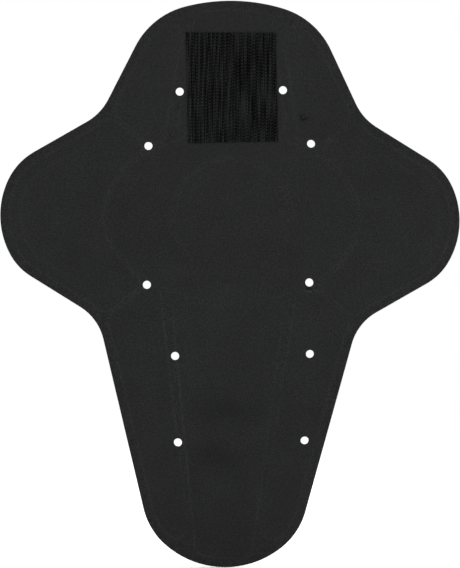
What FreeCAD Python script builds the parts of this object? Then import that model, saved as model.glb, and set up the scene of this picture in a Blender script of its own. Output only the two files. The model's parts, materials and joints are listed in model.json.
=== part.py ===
import FreeCAD, Part
import math
import os

import Sketcher

# Back protector insert for a motorcycle jacket, upright as it is worn.
# X is to the right and Z up towards the neck, seen from the wearer's side; Y points away from the wearer.
# The origin is the middle of the outline on the face of the comfort sheet, so the foam fills Y from 0 up
# and the hook tape stands on the other side, below Y = 0.
# Layers from the wearer outwards: hook tape, comfort sheet, lower impact blocks, upper impact blocks.
# The foam flexes on three straight lines, one beside each wing and one below the ring. Each line is a
# thin slit here, and its pivot axis lies on the face of the comfort sheet.

DOC = FreeCAD.newDocument("back_protector")
SIZES = DOC.addObject("Spreadsheet::Sheet", "Sizes")

# Millimetres and degrees.
DIMENSIONS = [
    # outline: right half, clockwise from the crown; its left half is the mirror image
    ("half_length", 237.5),
    ("crown_radius", 152),
    ("shoulder_radius", 65),
    ("shoulder_centre_across", 23.6),
    ("neck_slope", 64),
    ("upper_crotch_radius", 46),
    ("wing_top_slope", 30.8),
    ("wing_upper_radius", 53),
    ("wing_tip_radius", 69),
    ("wing_lower_radius", 49),
    ("wing_centre_across", 123.6),
    ("wing_centre_height", 55.4),
    ("wing_upper_centre_height", 62.2),
    ("wing_lower_centre_height", 45.5),
    ("wing_base_slope", 30.8),
    ("lower_crotch_radius", 43.5),
    ("lumbar_slope", 75.6),
    ("corner_radius", 58.5),
    ("corner_centre_across", 11.3),
    ("tail_radius", 76),
    # foam layers
    ("sheet_thickness", 4),
    ("lower_thickness", 6),
    ("upper_thickness", 6),
    ("lower_rim", 7.5),
    ("upper_rim", 11),
    ("lower_gap", 3.3),
    ("upper_gap", 10.3),
    ("lower_corner", 10),
    ("upper_corner", 6),
    ("lower_inner_corner", 7),
    ("upper_inner_corner", 3.4),
    # how the blocks share the outline
    ("ring_across", 1.7),
    ("ring_height", 56.2),
    ("ring_half_width", 106.4),
    ("ring_half_height", 72.9),
    ("disc_radius", 49.4),
    ("slot_angle", 39.2),
    ("spine_half_width", 57.4),
    ("nape_lean", 7.8),
    ("lumbar_lean", 6.5),
    ("reach", 300),
    # flex lines
    ("lumbar_flex_height", -32),
    ("slit", 0.4),
    # vent holes, punched through every layer, slightly askew on the outline
    ("vent_diameter", 6.8),
    ("punch_turn", 1.9),
    ("crown_vent_height", 161.8),
    ("crown_vent_left", -38.7),
    ("crown_vent_right", 47.8),
    ("upper_vent_height", 116.7),
    ("upper_vent_left", -65.6),
    ("upper_vent_right", 70.8),
    ("lower_vent_height", 0.3),
    ("lower_vent_left", -68.6),
    ("lower_vent_right", 67.6),
    ("waist_vent_height", -59.7),
    ("waist_vent_left", -45.8),
    ("waist_vent_right", 67.3),
    ("tail_vent_height", -132.2),
    ("tail_vent_left", -44.5),
    ("tail_vent_right", 61.8),
    # hook tape, cut by hand a little out of square
    ("tape_across", -0.3),
    ("tape_height", 164.7),
    ("tape_turn", 2.2),
    ("tape_width", 75.5),
    ("tape_length", 91.5),
    ("tape_skew", 1.9),
    ("film_thickness", 0.3),
    ("film_inset", 1.5),
    ("weave_thickness", 0.5),
    ("hook_height", 1.0),
    ("hook_pitch", 3.4),
    ("hook_width", 1.7),
    ("hook_margin", 1.6),
]

HOOK_COLUMNS = 22

# Numbers of the outline's runs and of a curve's points in a sketch.
CROWN, SHOULDER, NECK, UPPER_CROTCH, WING_TOP, WING_UPPER, WING_TIP, WING_LOWER = range(8)
WING_BASE, LOWER_CROTCH, LUMBAR, CORNER, TAIL = range(8, 13)
START, END, CENTRE = 1, 2, 3
VERTICAL_AXIS = -2

# Block corners are rounded where the walls meet at more than this many degrees.
SHARP_TURN = 20
ALMOST_ONE = 0.99

FRONT_NORMAL = FreeCAD.Vector(0, -1, 0)
ALONG_Y = FreeCAD.Vector(0, 1, 0)
X_AXIS = FreeCAD.Vector(1, 0, 0)
SIDES = {"left": -1, "right": 1}
LEVELS = ("crown", "upper", "lower", "waist", "tail")


def fill_sheet():
    for row, (alias, number) in enumerate(DIMENSIONS, start=1):
        SIZES.set(f"A{row}", alias)
        SIZES.set(f"B{row}", str(number))
        SIZES.setAlias(f"B{row}", alias)
    DOC.recompute()


def value(expression):
    """The number that an expression on the sheet's aliases gives."""
    return float(SIZES.evalExpression(expression))


def size(alias):
    return float(getattr(SIZES, alias))


# ---------------------------------------------------------------- outline


def outward(slope_down):
    """Unit normal, pointing out of the outline, where it runs clockwise at this angle below +X."""
    angle = math.radians(slope_down)
    return FreeCAD.Vector(math.sin(angle), math.cos(angle), 0)


def slope_between(big, small):
    """The outline's slope where a small arc continues a big one, from their two centres."""
    step = small - big
    return math.degrees(math.atan2(step.x, step.y))


def crotch_centre(first, second):
    """Centre of the round between two straight runs, each given as (point, slope, distance out)."""
    (p, slope_p, out_p), (q, slope_q, out_q) = first, second
    n, m = outward(slope_p), outward(slope_q)
    a = p.dot(n) + out_p
    b = q.dot(m) + out_q
    det = n.x * m.y - n.y * m.x
    return FreeCAD.Vector((a * m.y - b * n.y) / det, (b * n.x - a * m.x) / det, 0)


def outline_centres():
    """Centres of the nine arcs of the right half, in the sketch's own X and Y."""
    vec = FreeCAD.Vector
    crown = vec(0, size("half_length") - size("crown_radius"), 0)
    across = size("shoulder_centre_across")
    reach = size("crown_radius") - size("shoulder_radius")
    shoulder = crown + vec(across, math.sqrt(reach**2 - across**2), 0)

    tip = vec(size("wing_centre_across"), size("wing_centre_height"), 0)
    wing_ends = []
    for name in ("wing_upper", "wing_lower"):
        rise = size(name + "_centre_height") - tip.y
        reach = size("wing_tip_radius") - size(name + "_radius")
        wing_ends.append(tip + vec(math.sqrt(reach**2 - rise**2), rise, 0))
    upper, lower = wing_ends

    tail = vec(0, size("tail_radius") - size("half_length"), 0)
    across = size("corner_centre_across")
    reach = size("tail_radius") - size("corner_radius")
    corner = tail + vec(across, -math.sqrt(reach**2 - across**2), 0)

    upper_crotch = crotch_centre(
        (shoulder, size("neck_slope"), size("shoulder_radius") + size("upper_crotch_radius")),
        (upper, size("wing_top_slope"), size("wing_upper_radius") + size("upper_crotch_radius")),
    )
    lower_crotch = crotch_centre(
        (lower, 180 - size("wing_base_slope"), size("wing_lower_radius") + size("lower_crotch_radius")),
        (corner, 180 - size("lumbar_slope"), size("corner_radius") + size("lower_crotch_radius")),
    )
    return crown, shoulder, upper_crotch, upper, tip, lower, lower_crotch, corner, tail


def outline_runs():
    """The right half as (kind, radius alias, centre, slope at its start, slope at its end), clockwise."""
    crown, shoulder, upper_crotch, upper, tip, lower, lower_crotch, corner, tail = outline_centres()
    neck = size("neck_slope")
    wing_top = size("wing_top_slope")
    wing_base = 180 - size("wing_base_slope")
    lumbar = 180 - size("lumbar_slope")
    at_shoulder = slope_between(crown, shoulder)
    at_upper = slope_between(tip, upper)
    at_lower = slope_between(tip, lower)
    at_corner = slope_between(tail, corner)
    return [
        ("round", "crown_radius", crown, 0, at_shoulder),
        ("round", "shoulder_radius", shoulder, at_shoulder, neck),
        ("straight", None, None, neck, neck),
        ("hollow", "upper_crotch_radius", upper_crotch, neck, wing_top),
        ("straight", None, None, wing_top, wing_top),
        ("round", "wing_upper_radius", upper, wing_top, at_upper),
        ("round", "wing_tip_radius", tip, at_upper, at_lower),
        ("round", "wing_lower_radius", lower, at_lower, wing_base),
        ("straight", None, None, wing_base, wing_base),
        ("hollow", "lower_crotch_radius", lower_crotch, wing_base, lumbar),
        ("straight", None, None, lumbar, lumbar),
        ("round", "corner_radius", corner, lumbar, at_corner),
        ("round", "tail_radius", tail, at_corner, 180),
    ]


def arc_of(kind, radius, centre, start, end):
    """An arc of the outline. A round one runs clockwise and a hollow one the other way."""
    circle = Part.Circle(centre, FreeCAD.Vector(0, 0, 1), radius)
    if kind == "round":
        return Part.ArcOfCircle(circle, math.radians(90 - end), math.radians(90 - start))
    return Part.ArcOfCircle(circle, math.radians(270 - start), math.radians(270 - end))


def draw_outline(sketch, inset):
    """Draws the right half of the outline, moved in by inset, and ties it to the sheet."""
    runs = outline_runs()
    shift = value(inset)
    arcs = {}
    for number, (kind, alias, centre, start, end) in enumerate(runs):
        if kind != "straight":
            radius = size(alias) + (shift if kind == "hollow" else -shift)
            arcs[number] = arc_of(kind, radius, centre, start, end)
    for number, (kind, alias, centre, start, end) in enumerate(runs):
        if kind == "straight":
            before, after = arcs[number - 1], arcs[number + 1]
            first = before.StartPoint if runs[number - 1][0] == "round" else before.EndPoint
            last = after.EndPoint if runs[number + 1][0] == "round" else after.StartPoint
            sketch.addGeometry(Part.LineSegment(first, last))
        else:
            sketch.addGeometry(arcs[number])
    closing = len(runs)
    top, bottom = arcs[CROWN].EndPoint, arcs[TAIL].StartPoint
    sketch.addGeometry(Part.LineSegment(bottom, top))
    join_outline(sketch, [run[0] for run in runs], closing)
    size_outline(sketch, runs, inset)


def ends_of(kind):
    """A run's first and last point, taken clockwise."""
    return (END, START) if kind == "round" else (START, END)


def join_outline(sketch, kinds, closing):
    for number in range(closing - 1):
        last = ends_of(kinds[number])[1]
        first = ends_of(kinds[number + 1])[0]
        sketch.addConstraint(Sketcher.Constraint("Tangent", number, last, number + 1, first))
    sketch.addConstraint(Sketcher.Constraint("Coincident", TAIL, START, closing, START))
    sketch.addConstraint(Sketcher.Constraint("Coincident", CROWN, END, closing, END))
    for end in (START, END):
        sketch.addConstraint(Sketcher.Constraint("PointOnObject", closing, end, VERTICAL_AXIS))
    for arc in (CROWN, TAIL):
        sketch.addConstraint(Sketcher.Constraint("PointOnObject", arc, CENTRE, VERTICAL_AXIS))


def size_outline(sketch, runs, inset):
    """Radii, slopes and places of the outline, each bound to the sheet."""
    tie(sketch, "DistanceY", (CROWN, END), f"Sizes.half_length - {inset}")
    tie(sketch, "DistanceY", (TAIL, START), f"{inset} - Sizes.half_length")
    tie(sketch, "DistanceX", (SHOULDER, CENTRE), "Sizes.shoulder_centre_across")
    tie(sketch, "DistanceX", (WING_TIP, CENTRE), "Sizes.wing_centre_across")
    tie(sketch, "DistanceY", (WING_TIP, CENTRE), "Sizes.wing_centre_height")
    tie(sketch, "DistanceY", (WING_UPPER, CENTRE), "Sizes.wing_upper_centre_height")
    tie(sketch, "DistanceY", (WING_LOWER, CENTRE), "Sizes.wing_lower_centre_height")
    tie(sketch, "DistanceX", (CORNER, CENTRE), "Sizes.corner_centre_across")
    for number, (kind, alias, _, _, _) in enumerate(runs):
        if kind == "round":
            tie(sketch, "Radius", (number,), f"Sizes.{alias} - {inset}")
        elif kind == "hollow":
            tie(sketch, "Radius", (number,), f"Sizes.{alias} + {inset}")
    tie(sketch, "Angle", (NECK,), "-Sizes.neck_slope")
    tie(sketch, "Angle", (WING_TOP,), "-Sizes.wing_top_slope")
    tie(sketch, "Angle", (WING_BASE,), "Sizes.wing_base_slope - 180")
    tie(sketch, "Angle", (LUMBAR,), "Sizes.lumbar_slope - 180")


def tie(sketch, kind, where, expression):
    """Adds a dimension to a sketch and binds it to the sheet."""
    number = value(expression)
    if kind == "Angle":
        number = math.radians(number)
    index = sketch.addConstraint(Sketcher.Constraint(kind, *where, number))
    unit = " * 1 deg" if kind == "Angle" else " * 1 mm"
    sketch.setExpression(f"Constraints[{index}]", f"({expression}){unit}")


def origin_plane(body, role):
    return next(feature for feature in body.Origin.OriginFeatures if feature.Role == role)


def foam_plate(name, inset, base, thickness):
    """The whole outline, moved in by inset, as a plate that starts at Y = base."""
    body = DOC.addObject("PartDesign::Body", name)
    sketch = body.newObject("Sketcher::SketchObject", name + "_half")
    sketch.AttachmentSupport = [(origin_plane(body, "XZ_Plane"), "")]
    sketch.MapMode = "FlatFace"
    draw_outline(sketch, inset)
    pad = body.newObject("PartDesign::Pad", name + "_pad")
    pad.Profile = sketch
    pad.Reversed = True
    pad.setExpression("Length", thickness)
    mirrored = body.newObject("PartDesign::Mirrored", name + "_whole")
    mirrored.Originals = [pad]
    mirrored.MirrorPlane = (sketch, ["V_Axis"])
    body.Tip = mirrored
    body.setExpression("Placement.Base.y", base)
    return body


# ---------------------------------------------------------------- simple solids


def prism(name, corners, base, thickness):
    """A straight-sided plate from its corners, each a pair of expressions for X and Z."""
    sketch = DOC.addObject("Sketcher::SketchObject", name + "_plan")
    sketch.Placement = FreeCAD.Placement(FreeCAD.Vector(), FreeCAD.Rotation(X_AXIS, 90))
    points = [FreeCAD.Vector(value(x), value(z), 0) for x, z in corners]
    count = len(points)
    for number in range(count):
        sketch.addGeometry(Part.LineSegment(points[number], points[(number + 1) % count]))
    for number in range(count):
        sketch.addConstraint(Sketcher.Constraint("Coincident", number, END, (number + 1) % count, START))
    for number, (x, z) in enumerate(corners):
        tie(sketch, "DistanceX", (number, START), x)
        tie(sketch, "DistanceY", (number, START), z)
    return extrude(name, sketch, base, thickness)


def extrude(name, profile, base, thickness):
    solid = DOC.addObject("Part::Extrusion", name)
    solid.Base = profile
    solid.DirMode = "Custom"
    solid.Dir = ALONG_Y
    solid.Solid = True
    solid.setExpression("LengthFwd", thickness)
    solid.setExpression("Placement.Base.y", base)
    return solid


def oval(name, grow, base, thickness):
    """A plate in the shape of the ring's outer ellipse, larger by grow."""
    ellipse = DOC.addObject("Part::Ellipse", name + "_plan")
    ellipse.setExpression("MajorRadius", f"Sizes.ring_half_width + {grow}")
    ellipse.setExpression("MinorRadius", f"Sizes.ring_half_height + {grow}")
    ellipse.Placement = FreeCAD.Placement(FreeCAD.Vector(), FreeCAD.Rotation(X_AXIS, 90))
    ellipse.setExpression("Placement.Base.x", "Sizes.ring_across")
    ellipse.setExpression("Placement.Base.z", "Sizes.ring_height")
    return extrude(name, ellipse, base, thickness)


def round_plate(name, grow, base, thickness):
    """A plate in the shape of the disc, larger by grow."""
    disc = DOC.addObject("Part::Cylinder", name)
    disc.setExpression("Radius", f"Sizes.disc_radius + {grow}")
    disc.setExpression("Height", thickness)
    disc.Placement = FreeCAD.Placement(FreeCAD.Vector(), FreeCAD.Rotation(X_AXIS, -90))
    disc.setExpression("Placement.Base.x", "Sizes.ring_across")
    disc.setExpression("Placement.Base.y", base)
    disc.setExpression("Placement.Base.z", "Sizes.ring_height")
    return disc


def common(name, *shapes):
    both = DOC.addObject("Part::MultiCommon", name)
    both.Shapes = list(shapes)
    return both


def cut(name, base, tool):
    rest = DOC.addObject("Part::Cut", name)
    rest.Base = base
    rest.Tool = tool
    return rest


def is_corner(shape, edge):
    """True for an edge along Y where the side walls meet at a clear angle."""
    middle = edge.valueAt((edge.FirstParameter + edge.LastParameter) / 2)
    if abs(edge.tangentAt(edge.FirstParameter).y) < ALMOST_ONE:
        return False
    faces = shape.ancestorsOfType(edge, Part.Face)
    if len(faces) != 2:
        return False
    normals = [face.normalAt(*face.Surface.parameter(middle)) for face in faces]
    return math.degrees(normals[0].getAngle(normals[1])) > SHARP_TURN


def rounded(name, base, outer_radius, inner_radius):
    """The same block with the corners of its plan rounded, less where the groove round the ring cuts it."""
    DOC.recompute()
    shape = base.Shape
    corners = []
    for number, edge in enumerate(shape.Edges, start=1):
        if is_corner(shape, edge):
            radius = outer_radius if isinstance(edge.Curve, Part.Line) else inner_radius
            corners.append((number, radius, radius))
    block = DOC.addObject("Part::Fillet", name)
    block.Base = base
    block.Edges = corners
    return block


# ---------------------------------------------------------------- vents and flex lines


def vent_punches():
    """Ten round punches, long enough for every layer, turned together about the origin."""
    pins = []
    for level in LEVELS:
        for side in SIDES:
            pin = DOC.addObject("Part::Cylinder", f"punch_{level}_{side}")
            pin.setExpression("Radius", "Sizes.vent_diameter / 2")
            pin.setExpression("Height", "Sizes.reach")
            pin.Placement = FreeCAD.Placement(FreeCAD.Vector(), FreeCAD.Rotation(X_AXIS, -90))
            pin.setExpression("Placement.Base.x", f"Sizes.{level}_vent_{side}")
            pin.setExpression("Placement.Base.y", "-Sizes.reach / 2")
            pin.setExpression("Placement.Base.z", f"Sizes.{level}_vent_height")
            pins.append(pin)
    punches = DOC.addObject("Part::Compound", "punches")
    punches.Links = pins
    punches.Placement = FreeCAD.Placement(FreeCAD.Vector(), FreeCAD.Rotation(FRONT_NORMAL, 0))
    punches.setExpression("Placement.Rotation.Angle", "Sizes.punch_turn")
    return punches


def flex_line(side):
    """X of the wing's flex line, which touches the groove round the ring."""
    return f"(Sizes.ring_across + {SIDES[side]} * Sizes.ring_half_width)"


def flex_zones():
    """The space of each rigid part between the flex lines: the middle, the lumbar part and two wings."""
    half = "Sizes.slit / 2"
    far = "Sizes.reach"
    above = f"Sizes.lumbar_flex_height + {half}"
    below = f"Sizes.lumbar_flex_height - {half}"
    left = f"{flex_line('left')} + {half}"
    right = f"{flex_line('right')} - {half}"
    plans = {
        "centre": [(left, above), (right, above), (right, far), (left, far)],
        "lumbar": [(f"-{far}", f"-{far}"), (far, f"-{far}"), (far, below), (f"-{far}", below)],
    }
    for side, sign in SIDES.items():
        inner = f"{flex_line(side)} + {sign} * {half}"
        outer = f"{sign} * {far}"
        plans[f"wing_{side}"] = [(inner, above), (outer, above), (outer, far), (inner, far)]
    return {place: prism(f"{place}_zone", plan, f"-{far} / 2", far) for place, plan in plans.items()}


def comfort_sheet(punches, zones):
    """The thin sheet on the wearer's side, in its four parts between the flex lines."""
    whole = foam_plate("sheet_whole", "0", "0", "Sizes.sheet_thickness")
    punched = cut("sheet_punched", whole, punches)
    return [common(f"comfort_sheet_{place}", punched, zone) for place, zone in zones.items()]


# ---------------------------------------------------------------- impact blocks


class Layer:
    """One layer of blocks: its rim and gap, its place along Y and the shapes that its blocks share."""

    def __init__(self, name, base):
        self.name = name
        self.gap = f"Sizes.{name}_gap / 2"
        self.span = (base, f"Sizes.{name}_thickness")
        self.plate = foam_plate(f"{name}_plate", f"Sizes.{name}_rim", *self.span)
        self.ring_space = oval(f"{name}_ring_space", self.gap, *self.span)

    def label(self, block):
        return f"{block}_{self.name}"


def block_within(layer, block, corners):
    """The part of the layer between these corners and outside the ring's groove, with rounded corners."""
    name = layer.label(block)
    space = prism(name + "_space", corners, *layer.span)
    inside = common(name + "_inside", layer.plate, space)
    sharp = cut(name + "_sharp", inside, layer.ring_space)
    outer_radius = size(f"{layer.name}_corner")
    inner_radius = size(f"{layer.name}_inner_corner")
    return rounded(name + "_blank", sharp, outer_radius, inner_radius)


def spine_edge(side, lean, far, grow):
    """Two ends of the spine blocks' side line: beside the ring's centre and at the far end."""
    near_x = f"{side} * (Sizes.spine_half_width + {grow})"
    far_x = f"{side} * (Sizes.spine_half_width - Sizes.reach * tan(Sizes.{lean}) + {grow})"
    return (near_x, "Sizes.ring_height"), (far_x, f"Sizes.ring_height + {far} * Sizes.reach")


def spine_block(layer, block, lean, far):
    """A tapered block on the spine, above the ring (far = 1) or below it (far = -1)."""
    left = spine_edge(-1, lean, far, f"(-{layer.gap})")
    right = spine_edge(1, lean, far, f"(-{layer.gap})")
    return block_within(layer, block, [left[0], right[0], right[1], left[1]])


def side_block(layer, block, side, lean, far):
    """A block between the spine, the ring and a slot that runs out to the crotch of the outline."""
    near, end = spine_edge(side, lean, far, layer.gap)
    lift = f"({layer.gap}) / cos(Sizes.slot_angle)"
    slope = "tan(Sizes.slot_angle)"
    inner_run = f"({near[0]} - Sizes.ring_across) * {side}"
    outer_x = f"Sizes.ring_across + {side} * Sizes.reach"
    inner = (near[0], f"Sizes.ring_height + {far} * ({inner_run} * {slope} + {lift})")
    outer = (outer_x, f"Sizes.ring_height + {far} * (Sizes.reach * {slope} + {lift})")
    top = (outer_x, f"Sizes.ring_height + {far} * Sizes.reach")
    return block_within(layer, block, [inner, outer, top, end])


def wing_block(layer, block, side):
    """The crescent between the two slots of one side, outside the ring."""
    apex = f"Sizes.ring_across + {side} * ({layer.gap}) / sin(Sizes.slot_angle)"
    rise = "Sizes.reach * tan(Sizes.slot_angle)"
    corners = [
        (apex, "Sizes.ring_height"),
        (f"{apex} + {side} * Sizes.reach", f"Sizes.ring_height - {rise}"),
        (f"{apex} + {side} * Sizes.reach", f"Sizes.ring_height + {rise}"),
    ]
    return block_within(layer, block, corners)


def ring_and_disc(layer):
    """The oval ring over the shoulder blades and the disc inside it."""
    oval_blank = oval(f"{layer.name}_ring_outer", f"(-{layer.gap})", *layer.span)
    eye = round_plate(f"{layer.name}_ring_eye", layer.gap, *layer.span)
    ring = cut(layer.label("ring") + "_blank", oval_blank, eye)
    disc = round_plate(layer.label("disc") + "_blank", f"(-{layer.gap})", *layer.span)
    return ring, disc


def block_layer(layer, punches, zones):
    """Every block of one layer, punched, and split where it crosses a flex line."""
    ring, disc = ring_and_disc(layer)
    nodes = [
        cut(layer.label("ring"), ring, punches),
        cut(layer.label("disc"), disc, punches),
        cut(layer.label("nape"), spine_block(layer, "nape", "nape_lean", 1), punches),
    ]
    lumbar = [spine_block(layer, "lumbar_spine", "lumbar_lean", -1)]
    for side, sign in SIDES.items():
        head = side_block(layer, f"head_{side}", sign, "nape_lean", 1)
        nodes.append(cut(layer.label(f"head_{side}"), head, punches))
        lumbar.append(side_block(layer, f"lumbar_{side}", sign, "lumbar_lean", -1))
        wing = wing_block(layer, f"wing_{side}", sign)
        punched = cut(layer.label(f"wing_{side}_punched"), wing, punches)
        nodes.append(common(layer.label(f"wing_{side}"), punched, zones[f"wing_{side}"]))
        nodes.append(common(layer.label(f"wing_{side}_horns"), punched, zones["centre"]))
    tops = []
    for blank in lumbar:
        block = blank.Name.replace(f"_{layer.name}_blank", "")
        punched = cut(layer.label(block + "_punched"), blank, punches)
        nodes.append(common(layer.label(block), punched, zones["lumbar"]))
        tops.append(common(layer.label(block + "_top"), punched, zones["centre"]))
    lumbar_tops = DOC.addObject("Part::Compound", layer.label("lumbar_tops"))
    lumbar_tops.Links = tops
    nodes.append(lumbar_tops)
    return nodes


# ---------------------------------------------------------------- hook tape


def tape_corners(inset):
    """Corners of the tape in its own frame. Its top edge is cut askew, so its left side is longer."""
    wide = f"(Sizes.tape_width / 2 - {inset})"
    bottom = f"{inset} - Sizes.tape_length / 2"
    left_top = f"Sizes.tape_length / 2 + Sizes.tape_skew / 2 - {inset}"
    right_top = f"Sizes.tape_length / 2 - Sizes.tape_skew / 2 - {inset}"
    return [(f"-{wide}", bottom), (wide, bottom), (wide, right_top), (f"-{wide}", left_top)]


def lay_on_sheet(solid):
    """Turns a piece of the tape askew and puts it in place between the shoulders."""
    solid.Placement = FreeCAD.Placement(FreeCAD.Vector(), FreeCAD.Rotation(FRONT_NORMAL, 0))
    solid.setExpression("Placement.Rotation.Angle", "Sizes.tape_turn")
    solid.setExpression("Placement.Base.x", "Sizes.tape_across")
    solid.setExpression("Placement.Base.z", "Sizes.tape_height")
    return solid


def hook_tape():
    """Adhesive film, woven tape and the columns of hooks that stand on it."""
    film_face = "-Sizes.film_thickness"
    weave_face = "-(Sizes.film_thickness + Sizes.weave_thickness)"
    film = prism("tape_film_flat", tape_corners("Sizes.film_inset"), film_face, "Sizes.film_thickness")
    weave = prism("tape_weave_flat", tape_corners("0"), weave_face, "Sizes.weave_thickness")
    field = prism(
        "hook_field",
        tape_corners("Sizes.hook_margin"),
        f"{weave_face} - Sizes.hook_height",
        "Sizes.hook_height",
    )
    columns = DOC.addObject("Part::Compound", "hook_columns")
    columns.Links = [hook_column(number) for number in range(HOOK_COLUMNS)]
    hooks = common("tape_hooks_flat", field, columns)
    pieces = {"tape_film": film, "tape_weave": weave, "tape_hooks": hooks}
    nodes = []
    for name, flat in pieces.items():
        piece = DOC.addObject("Part::Compound", name)
        piece.Links = [flat]
        nodes.append(lay_on_sheet(piece))
    return nodes


def hook_column(number):
    column = DOC.addObject("Part::Box", f"hook_column_{number}")
    from_middle = number - (HOOK_COLUMNS - 1) / 2
    column.setExpression("Length", "Sizes.hook_width")
    column.setExpression("Width", "2 * Sizes.reach")
    column.setExpression("Height", "2 * Sizes.reach")
    column.setExpression("Placement.Base.x", f"{from_middle} * Sizes.hook_pitch - Sizes.hook_width / 2")
    column.setExpression("Placement.Base.y", "-Sizes.reach")
    column.setExpression("Placement.Base.z", "-Sizes.reach")
    return column


# ---------------------------------------------------------------- whole protector


def build():
    fill_sheet()
    punches = vent_punches()
    zones = flex_zones()
    nodes = comfort_sheet(punches, zones)
    upper_base = "Sizes.sheet_thickness + Sizes.lower_thickness"
    for layer in (Layer("lower", "Sizes.sheet_thickness"), Layer("upper", upper_base)):
        nodes += block_layer(layer, punches, zones)
    nodes += hook_tape()
    for node in nodes:
        node.Label = node.Name
    DOC.recompute()
    return nodes


def check(nodes):
    """Stops if anything in the document failed to build."""
    for thing in DOC.Objects:
        failed = [state for state in thing.State if state in ("Invalid", "Error")]
        if failed:
            raise RuntimeError(f"{thing.Label} is {failed}")
    for node in nodes:
        if node.Shape.isNull() or not node.Shape.isValid() or not node.Shape.Solids:
            raise RuntimeError(f"{node.Label} has no valid solid")


def export(nodes):
    os.makedirs("parts", exist_ok=True)
    for node in nodes:
        node.Shape.exportStep(f"parts/{node.Label}.step")


NODES = build()
check(NODES)
export(NODES)
for NODE in NODES:
    print(f"{NODE.Label:28} solids {len(NODE.Shape.Solids)} volume {NODE.Shape.Volume / 1000:8.2f} cm3")
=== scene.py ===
"""Back protector: the looks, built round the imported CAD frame. Metres, Z up, the wearer's side faces -Y."""
import json
import math
import random

import bpy
import numpy as np
from mathutils import Euler, Matrix, Vector
from mathutils.geometry import delaunay_2d_cdt
from mathutils.kdtree import KDTree
from mathutils.noise import noise as noise_at


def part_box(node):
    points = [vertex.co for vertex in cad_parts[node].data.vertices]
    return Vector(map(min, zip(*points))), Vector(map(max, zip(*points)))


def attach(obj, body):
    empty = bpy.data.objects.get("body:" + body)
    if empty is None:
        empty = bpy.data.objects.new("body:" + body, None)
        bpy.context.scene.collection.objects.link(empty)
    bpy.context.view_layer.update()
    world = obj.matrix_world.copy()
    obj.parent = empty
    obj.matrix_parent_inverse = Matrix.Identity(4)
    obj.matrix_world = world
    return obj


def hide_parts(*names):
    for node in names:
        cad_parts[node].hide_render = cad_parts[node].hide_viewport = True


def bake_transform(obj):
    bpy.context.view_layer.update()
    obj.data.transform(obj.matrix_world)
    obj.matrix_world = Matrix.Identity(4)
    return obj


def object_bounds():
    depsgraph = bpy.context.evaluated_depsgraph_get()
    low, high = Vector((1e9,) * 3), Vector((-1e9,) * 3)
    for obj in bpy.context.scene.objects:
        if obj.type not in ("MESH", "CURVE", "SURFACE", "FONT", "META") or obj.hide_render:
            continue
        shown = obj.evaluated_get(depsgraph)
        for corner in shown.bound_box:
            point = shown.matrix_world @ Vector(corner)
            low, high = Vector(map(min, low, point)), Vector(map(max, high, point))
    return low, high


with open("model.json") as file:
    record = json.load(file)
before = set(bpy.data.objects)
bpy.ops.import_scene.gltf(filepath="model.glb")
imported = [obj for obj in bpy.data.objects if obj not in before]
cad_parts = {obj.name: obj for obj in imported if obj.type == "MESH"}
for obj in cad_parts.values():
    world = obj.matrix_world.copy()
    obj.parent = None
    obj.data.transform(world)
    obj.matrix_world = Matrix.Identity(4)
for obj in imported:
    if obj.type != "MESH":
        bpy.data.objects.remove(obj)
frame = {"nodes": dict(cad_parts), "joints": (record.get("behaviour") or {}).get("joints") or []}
CAD_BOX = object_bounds()
NODES = frame["nodes"]
PIVOTS = {joint["name"]: joint["pos_m"] for joint in frame["joints"]}

MM = 0.001
SIDES = ("left", "right")

# Flex lines, from the joints, and how far inside them the comfort sheet is divided into pieces.
WING_LINE = {side: PIVOTS[f"wing_{side}_flex"][0] for side in SIDES}
LUMBAR_LINE = PIVOTS["lumbar_flex"][2]
BEND_BEFORE = 1.5 * MM

# Faces of the layers, from the frame.
SHEET_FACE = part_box("comfort_sheet_centre")[0].y
LOWER_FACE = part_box("disc_lower")[0].y
UPPER_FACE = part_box("disc_upper")[0].y
OUTER_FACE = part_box("disc_upper")[1].y
TAPE_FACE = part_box("tape_weave")[0].y
HOOK_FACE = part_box("tape_hooks")[0].y


# ---------------------------------------------------------------- plans read from the frame


def border_edges(node, y):
    """Directed border edges, as pairs of (x, z), of the node's flat face at this Y."""
    mesh = NODES[node].data
    edges = {}
    for polygon in mesh.polygons:
        corners = [mesh.vertices[i].co for i in polygon.vertices]
        if max(abs(corner.y - y) for corner in corners) > 0.02 * MM:
            continue
        ring = [(round(corner.x, 6), round(corner.z, 6)) for corner in corners]
        for edge in zip(ring, ring[1:] + ring[:1]):
            if edges.pop(edge[::-1], None) is None:
                edges[edge] = True
    return list(edges)


def on_slit(edge):
    """True for an edge that lies on one of the CAD model's slits."""
    (ax, az), (bx, bz) = edge
    near = 0.3 * MM
    lines = [(ax, bx, WING_LINE[side]) for side in SIDES] + [(az, bz, LUMBAR_LINE)]
    return any(abs(a - line) < near and abs(b - line) < near for a, b, line in lines)


def plan(nodes, y):
    """Closed loops of the flat face that these nodes make together, with the slits between them closed.

    Each starts from the longest edge left, so that its two ends never lie close before it is whole.
    """
    edges = [edge for node in nodes for edge in border_edges(node, y) if not on_slit(edge)]
    edges.sort(key=lambda edge: -math.dist(*edge))
    loops = []
    while edges:
        loop = [edges.pop(0)]
        while True:
            end = loop[-1][1]
            gaps = [math.dist(end, edge[0]) for edge in edges]
            if math.dist(end, loop[0][0]) < 1 * MM and (not gaps or min(gaps) > 1e-7):
                break
            loop.append(edges.pop(gaps.index(min(gaps))))
        loops.append(np.array([edge[0] for edge in loop]))
    return loops


def unit(runs):
    return runs / np.maximum(np.linalg.norm(runs, axis=1, keepdims=True), 1e-9)


def area_of(loop):
    x, z = loop.T
    return 0.5 * float(np.sum(x * np.roll(z, -1) - z * np.roll(x, -1)))


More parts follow.
